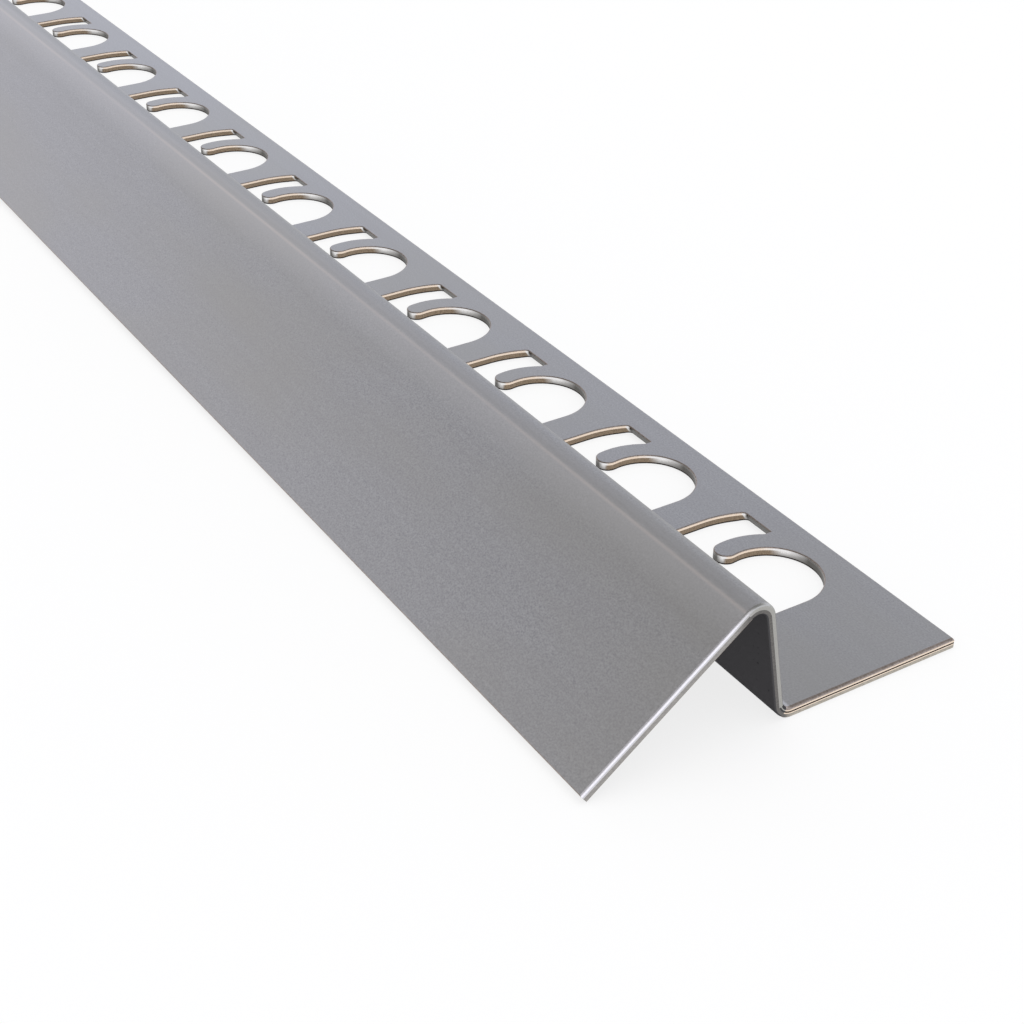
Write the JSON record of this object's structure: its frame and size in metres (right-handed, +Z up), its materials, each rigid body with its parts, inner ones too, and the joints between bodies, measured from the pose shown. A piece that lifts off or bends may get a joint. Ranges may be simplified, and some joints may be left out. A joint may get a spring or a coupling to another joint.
{
  "type": "tile edge trim",
  "caption": "Ramp-shaped tile edge trim: one bent steel sheet with a sloping face, an upright web and a flat anchoring leg with punched openings.",
  "frame": {"origin": "on the floor under the middle of the trim's bounding box", "axes": "+X along the trim towards its near end, +Y from the ramp to the anchoring leg, +Z up"},
  "size_m": [1, 0.0494, 0.0164],
  "materials": {
    "satin_stainless": "satin stainless sheet, punched and bent"
  },
  "bodies": {
    "root": {"edge_trim": "satin_stainless"}
  },
  "joints": []
}
